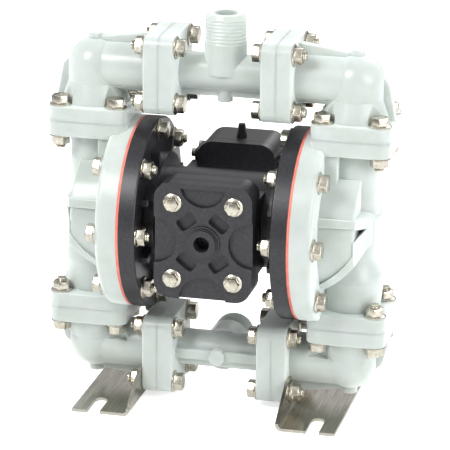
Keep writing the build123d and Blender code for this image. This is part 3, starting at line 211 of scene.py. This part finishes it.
# %% Machined aluminium
machined_aluminium, tree, shader = new_material("machined aluminium")
tool_marks = speckle(tree, size_mm=0.8, detail=2, stretch=(12, 1, 1))
fill(shader, Base_Color=shades(tree, tool_marks, (0.3, "#B4B5B8"), (0.7, "#CDCED0")),
     Metallic=1.0, Roughness=0.34)

# %% Ground steel
ground_steel, tree, shader = new_material("ground steel")
grinding = speckle(tree, size_mm=0.6, detail=2, stretch=(8, 1, 1))
fill(shader, Base_Color=shades(tree, grinding, (0.3, "#B9BABC"), (0.7, "#D8D9DA")),
     Metallic=1.0, Roughness=0.16)

# %% Turned brass
turned_brass, tree, shader = new_material("turned brass")
patches = speckle(tree, size_mm=1, detail=2)
fill(shader, Base_Color=shades(tree, patches, (0.3, "#B8913F"), (0.7, "#D2AE62")),
     Metallic=1.0, Roughness=0.28)

# %% White fluoropolymer
fluoropolymer, tree, shader = new_material("white fluoropolymer")
patches = speckle(tree, size_mm=6, detail=2)
fill(shader, Base_Color=shades(tree, patches, (0.3, "#E6E4DC"), (0.7, "#F3F2EC")),
     Roughness=0.3, IOR=1.38)

# %% Black rubber
black_rubber, tree, shader = new_material("black nitrile rubber")
patches = speckle(tree, size_mm=1.5, detail=2)
fill(shader, Base_Color=shades(tree, patches, (0.3, "#141314"), (0.7, "#242324")),
     Roughness=0.6, IOR=1.52)

# %% [markdown]
# ## Which piece has which finish
# The record that came with the frame gives every node a material slot. One table turns those
# slots into the finishes above. The shading of the CAD meshes stays as it came.

# %% Finishes on the CAD nodes
finishes = {
    "wetted_plastic": natural_pp,
    "black_plastic": filled_pp,
    "diaphragm_elastomer": elastomer,
    "seal_rubber": black_rubber,
    "machined_aluminium": machined_aluminium,
    "bearing_plastic": fluoropolymer,
    "ball_plastic": fluoropolymer,
    "sheet_stainless": rolled_sheet,
    "insert_brass": turned_brass,
    "ground_steel": ground_steel,
    "plated_steel": fastener_steel,
}
slot_of = {entry["node"]: entry["material_slot"] for entry in frame["record"]["subparts"]}
for name, node in nodes.items():
    node.data.materials.clear()
    node.data.materials.append(finishes[slot_of[name]])
print("finishes set on", len(nodes), "nodes")

# %% [markdown]
# ## Turned and hexagonal forms
# Bolts, nuts and diaphragms are made of two kinds of form. A lathe form is a profile spun about
# the Z axis. A hexagon is a six-sided disc pushed up, with its corners bevelled as cold forming
# leaves them. Both give a bmesh, and one piece gathers any number of them.

# %% Lathe and hexagon
MM = 0.001
SAME_PLACE = 1e-6
SHARP_ANGLE = math.radians(35)


def tidy(form):
    """Merge doubled points and turn all faces outwards."""
    bmesh.ops.remove_doubles(form, verts=form.verts, dist=SAME_PLACE)
    bmesh.ops.recalc_face_normals(form, faces=form.faces)


def lathe(profile, segments):
    """A profile of (radius, height) points spun about Z."""
    form = bmesh.new()
    points = [form.verts.new((radius, 0, height)) for radius, height in profile]
    lines = [form.edges.new(pair) for pair in zip(points, points[1:])]
    bmesh.ops.spin(form, geom=points + lines, cent=(0, 0, 0), axis=(0, 0, 1), angle=2 * math.pi,
                   steps=segments, use_merge=True)
    tidy(form)
    return form


def soften(form, edges, width):
    """Bevel edges with two rounded steps."""
    bmesh.ops.bevel(form, geom=edges, offset=width, segments=2, profile=0.5, affect="EDGES",
                    material=-1)


def hexagon(flats, low, high, bevel):
    """A hexagonal block from low to high with a bevelled top and softened corners."""
    form = bmesh.new()
    bmesh.ops.create_circle(form, cap_ends=True, segments=6, radius=flats / math.sqrt(3),
                            matrix=Matrix.Translation((0, 0, low)))
    pushed = bmesh.ops.extrude_face_region(form, geom=list(form.faces))
    raised = [item for item in pushed["geom"] if isinstance(item, bmesh.types.BMVert)]
    bmesh.ops.translate(form, verts=raised, vec=(0, 0, high - low))
    corners = [edge for edge in form.edges
               if abs(edge.verts[0].co.z - edge.verts[1].co.z) > SAME_PLACE]
    soften(form, corners, bevel / 2)
    crown = [edge for edge in form.edges
             if min(point.co.z for point in edge.verts) > high - SAME_PLACE]
    soften(form, crown, bevel)
    tidy(form)
    return form


def gather(name, forms, material):
    """One piece from (bmesh, matrix) forms, smooth on its curves and sharp at its edges."""
    whole = bmesh.new()
    for form, matrix in forms:
        part = bpy.data.meshes.new("form")
        form.to_mesh(part)
        part.transform(matrix)
        whole.from_mesh(part)
        bpy.data.meshes.remove(part)
    for face in whole.faces:
        face.smooth = True
    for edge in whole.edges:
        edge.smooth = not edge.is_manifold or edge.calc_face_angle(0) < SHARP_ANGLE
    mesh = bpy.data.meshes.new(name)
    whole.to_mesh(mesh)
    piece = bpy.data.objects.new(name, mesh)
    bpy.context.scene.collection.objects.link(piece)
    mesh.materials.append(material)
    return piece


def standing(base, direction):
    """Matrix that stands a form on base with its Z along a direction."""
    turn = Vector(direction).to_track_quat("Z", "X").to_matrix().to_4x4()
    return Matrix.Translation(base) @ turn


# %% [markdown]
# ## Bolts and nuts
# The CAD bolts are a plain hexagon on a plain disc. The real ones are cold formed: the flange
# slopes up to the hexagon, the head is dished, and the thread shows where a bolt leaves its nut.
# The place and direction of each one are read from its own solid in the CAD node: all of them
# lie along X, Y or Z, the bolts with their longest side and the nuts with their shortest.
#
# The table gives each size its shank radius, width over the flats, flange radius, thickness of
# the flange's edge, head height, and the thread's pitch and depth. Points of a CAD fastener
# within RIM_BAND of its widest ring count as its flange.

# %% Sizes of the fasteners
SIZES = {
    "M8": {"shank": 4.0 * MM, "flats": 12.8 * MM, "flange": 8.8 * MM, "edge": 0.9 * MM,
           "head": 7.6 * MM, "pitch": 1.25 * MM, "depth": 0.6 * MM},
    "M6": {"shank": 3.0 * MM, "flats": 10.0 * MM, "flange": 7.3 * MM, "edge": 0.8 * MM,
           "head": 5.8 * MM, "pitch": 1.0 * MM, "depth": 0.5 * MM},
}
NUT_HEIGHT = 7.4 * MM
HEXAGON_BEVEL = 0.8 * MM
DISH_DEPTH = 0.6 * MM
THREAD_SHOWN = 12 * MM
RIM_BAND = 0.3 * MM
ROUND = 36
BOLTS = {"chamber_bolts": "M8", "neck_bolts": "M8", "joint_bolts": "M8", "manifold_bolts": "M8",
         "cap_bolts": "M6", "valve_bolts": "M6"}
NUTS = ("chamber_nuts", "joint_nuts", "manifold_nuts")


# %% Bolt and nut forms
def skirt(size):
    """Profile of the sloping flange under a hexagon, from its bearing face up."""
    rim, edge, root = size["flange"], size["edge"], size["flats"] / 2
    return [(root * 0.7, 0), (rim - edge / 3, 0), (rim, edge / 3), (rim, edge * 2 / 3),
            (rim - edge / 3, edge), (root * 1.02, edge * 2.2), (root * 0.7, edge * 2.3)]


def thread(size, start, end):
    """Zigzag profile of a thread between two heights, closed by a flat tip at the end."""
    crest, root = size["shank"], size["shank"] - size["depth"]
    turns = max(1, int(abs(end - start) / size["pitch"]))
    step = (end - start) / turns
    profile = []
    for turn in range(turns):
        profile += [(crest, start + turn * step), (root, start + (turn + 0.5) * step)]
    return profile + [(root, end), (0, end)]


def bolt(size, shank):
    """Forms of one bolt: head above its bearing face, shank and thread below."""
    head, root = size["head"], size["flats"] / 2
    dish = [(root * 0.92, head - 0.1 * MM), (root * 0.72, head), (root * 0.62, head - DISH_DEPTH),
            (0, head - DISH_DEPTH)]
    thread_start = -shank + min(THREAD_SHOWN, shank / 2)
    rod = [(size["shank"], 0.5 * MM), (size["shank"], thread_start)]
    rod += thread(size, thread_start, -shank)
    return [hexagon(size["flats"], size["edge"], head, HEXAGON_BEVEL), lathe(skirt(size), ROUND),
            lathe(dish, ROUND), lathe(rod, ROUND)]


def nut(size):
    """Forms of one nut: hexagon, flange, and the mouth round the bolt."""
    root = size["flats"] / 2
    mouth = [(root * 0.93, NUT_HEIGHT - 0.2 * MM), (size["shank"] * 1.12, NUT_HEIGHT + 0.01 * MM),
             (size["shank"] * 1.01, NUT_HEIGHT - 0.8 * MM)]
    return [hexagon(size["flats"], size["edge"], NUT_HEIGHT, HEXAGON_BEVEL),
            lathe(skirt(size), ROUND), lathe(mouth, ROUND)]


# %% Where the fasteners lie
def islands(node):
    """The lowest corner, highest corner and points of each separate solid in a CAD node."""
    form = bmesh.new()
    form.from_mesh(node.data)
    bmesh.ops.remove_doubles(form, verts=form.verts, dist=SAME_PLACE)
    waiting = set(form.verts)
    boxes = []
    while waiting:
        reached, front = set(), [waiting.pop()]
        while front:
            point = front.pop()
            reached.add(point)
            for edge in point.link_edges:
                other = edge.other_vert(point)
                if other in waiting:
                    waiting.discard(other)
                    front.append(other)
        places = [node.matrix_world @ point.co for point in reached]
        low = Vector([min(place[axis] for place in places) for axis in range(3)])
        high = Vector([max(place[axis] for place in places) for axis in range(3)])
        boxes.append((low, high, places))
    return boxes


def lie(low, high, places, pick):
    """A fastener's axis and its flange's side of the middle, as +1 or -1 along that axis.

    Pick is max where the axis is the longest side, and min where it is the shortest. The flange
    is where the fastener is widest.
    """
    axis = pick(range(3), key=lambda side: high[side] - low[side])
    middle = (low + high) / 2
    across = [side for side in range(3) if side != axis]
    widths = [max(abs(place[side] - middle[side]) for side in across) for place in places]
    widest = max(widths)
    rim = [place[axis] for place, width in zip(places, widths) if width > widest - RIM_BAND]
    return axis, 1 if sum(rim) / len(rim) > middle[axis] else -1


# %% Gather the bolts
for name, size_name in BOLTS.items():
    size = SIZES[size_name]
    forms = []
    for low, high, places in islands(nodes[name]):
        axis, up = lie(low, high, places, max)
        direction = [up if side == axis else 0 for side in range(3)]
        base = (low + high) / 2
        base[axis] = high[axis] - size["head"] if up > 0 else low[axis] + size["head"]
        shank = high[axis] - low[axis] - size["head"]
        forms += [(form, standing(base, direction)) for form in bolt(size, shank)]
    piece = gather(name + "_formed", forms, fastener_steel)
    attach(piece, "pump")
    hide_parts(name)
    print(name, "replaced by", len(forms) // 4, "formed bolts")

# %% Gather the nuts
for name in NUTS:
    forms = []
    for low, high, places in islands(nodes[name]):
        axis, down = lie(low, high, places, min)
        direction = [-down if side == axis else 0 for side in range(3)]
        base = (low + high) / 2
        base[axis] = low[axis] if down < 0 else high[axis]
        forms += [(form, standing(base, direction)) for form in nut(SIZES["M8"])]
    piece = gather(name + "_formed", forms, fastener_steel)
    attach(piece, "pump")
    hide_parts(name)
    print(name, "replaced by", len(forms) // 3, "formed nuts")

# %% [markdown]
# ## Diaphragms
# A diaphragm is clamped between the rims at its edge and rides on the rod in its middle. Between
# them is a soft web with a raised ring. The profile runs from the hub outwards along one face and
# back along the other, in heights over the clamped plane.

# %% Diaphragm pieces
THICKNESS = 2.2 * MM
DISH = 6.0 * MM
ROD_HOLE, HUB_EDGE, WEB_END = 5.1 * MM, 37 * MM, 57 * MM
RING_HEIGHT = 0.7 * MM
WEB_STEPS = 16
DIAPHRAGM_SEGMENTS = 96


def web_height(radius):
    """Height of the web's middle surface over the clamped plane, with one raised ring."""
    share = min(1, max(0, (WEB_END - radius) / (WEB_END - HUB_EDGE)))
    ring = RING_HEIGHT * math.sin(math.pi * share) ** 4
    return DISH * share * share * (3 - 2 * share) + ring


def diaphragm_profile(edge_radius):
    """Closed profile of (radius, height) points round the diaphragm's section."""
    web = [HUB_EDGE + (WEB_END - HUB_EDGE) * step / WEB_STEPS for step in range(WEB_STEPS + 1)]
    radii = [ROD_HOLE] + web + [edge_radius]
    over = [(radius, web_height(radius) + THICKNESS / 2) for radius in radii]
    under = [(radius, height - THICKNESS) for radius, height in reversed(over)]
    return over + under + over[:1]


for side, name in ((-1, "diaphragm_left"), (1, "diaphragm_right")):
    low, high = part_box(name)
    edge_radius = (high[2] - low[2]) / 2
    rod_height = (high[2] + low[2]) / 2
    plane = (low[0] if side > 0 else high[0]) + side * THICKNESS / 2
    form = lathe(diaphragm_profile(edge_radius), DIAPHRAGM_SEGMENTS)
    place = standing((plane, 0, rod_height), (side, 0, 0))
    piece = gather(name + "_moulded", [(form, place)], elastomer)
    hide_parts(name)
    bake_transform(piece)
    print(name, "replaced by a moulded form of radius", round(edge_radius, 4))

# %% [markdown]
# ## Floor and light
# A white seamless floor and three large soft lamps, as in a product studio: a broad key from the
# upper left front, a fill from the right and a rim light from behind. The floor glows a little,
# as a lit sweep does, so that it comes out white with only a soft shadow under the pump. The
# glow is only for the camera, so that the pump's undersides stay in shade. The surroundings are
# bright above and dark along the horizon, which gives the metal its contrast.

# %% Floor
FLOOR_GLOW = 0.6
bpy.ops.mesh.primitive_plane_add(size=6)
floor = bpy.context.object
floor.name = "studio floor"
floor_paint, tree, shader = new_material("matt studio floor")
seen = add_node(tree, "ShaderNodeLightPath").outputs["Is Camera Ray"]
glow = add_node(tree, "ShaderNodeMath", {"operation": "MULTIPLY"}, _0=seen, _1=FLOOR_GLOW)
fill(shader, Base_Color=linear("#F7F7F6"), Roughness=0.9, Emission_Color=linear("#FFFFFF"),
     Emission_Strength=glow.outputs[0])
floor.data.materials.append(floor_paint)

# %% Lamps and world
PUMP_MIDDLE = Vector((0, 0, 0.15))
SKY_STRENGTH = 0.66


def soft_lamp(name, place, size, watts):
    """A square area lamp at place, turned towards the pump."""
    light = bpy.data.lights.new(name, "AREA")
    light.size = size
    light.energy = watts
    lamp = bpy.data.objects.new(name, light)
    bpy.context.scene.collection.objects.link(lamp)
    lamp.location = place
    lamp.rotation_euler = (PUMP_MIDDLE - Vector(place)).to_track_quat("-Z", "Y").to_euler()


soft_lamp("key", (-0.9, -1.3, 1.5), size=0.8, watts=32)
soft_lamp("fill", (1.4, -0.9, 0.8), size=1.2, watts=22)
soft_lamp("rim", (0.4, 1.4, 1.4), size=1.0, watts=16)
world = bpy.data.worlds.new("studio")
bpy.context.scene.world = world
world.use_nodes = True
tree = world.node_tree
direction = add_node(tree, "ShaderNodeTexCoord").outputs["Generated"]
height = add_node(tree, "ShaderNodeSeparateXYZ", Vector=direction).outputs["Z"]
rise = add_node(tree, "ShaderNodeMapRange", Value=height, From_Min=-1.0).outputs["Result"]
sky = shades(tree, rise, (0.0, "#D8D8D8"), (0.49, "#8C8C8C"), (0.53, "#6A6A6A"),
             (0.64, "#E8E8E8"), (0.8, "#FFFFFF"))
fill(tree.nodes["Background"], Color=sky, Strength=SKY_STRENGTH)

# %% [markdown]
# ## Camera
# The camera stands where the photographer stood: 13 degrees to the right of the front, 17.5
# degrees up, far away with a long lens, and tipped by less than a degree. Its line of sight
# passes the pump's middle by the two small steps, one to the side and one down. The display
# transform is the plain one, which keeps the background white and the colours as they are lit.

# %% Camera
bpy.context.scene.view_settings.view_transform = "Standard"
azimuth, elevation, roll = math.radians(13.15), math.radians(17.5), math.radians(0.65)
distance, side_step, up_step = 2.21753, 0.00088, -0.00765
back = Vector((math.sin(azimuth) * math.cos(elevation), -math.cos(azimuth) * math.cos(elevation),
               math.sin(elevation)))
right = Vector((math.cos(azimuth), math.sin(azimuth), 0))
up = back.cross(right)
rolled_right = right * math.cos(roll) + up * math.sin(roll)
rolled_up = up * math.cos(roll) - right * math.sin(roll)
eye = PUMP_MIDDLE + back * distance + right * side_step + up * up_step
lens = bpy.data.cameras.new("camera")
lens.sensor_width = 36
lens.lens = 225.2
lens.clip_end = 20
camera = bpy.data.objects.new("camera", lens)
bpy.context.scene.collection.objects.link(camera)
camera.matrix_world = Matrix((
    (rolled_right.x, rolled_up.x, back.x, eye.x),
    (rolled_right.y, rolled_up.y, back.y, eye.y),
    (rolled_right.z, rolled_up.z, back.z, eye.z),
    (0, 0, 0, 1)))
bpy.context.scene.camera = camera
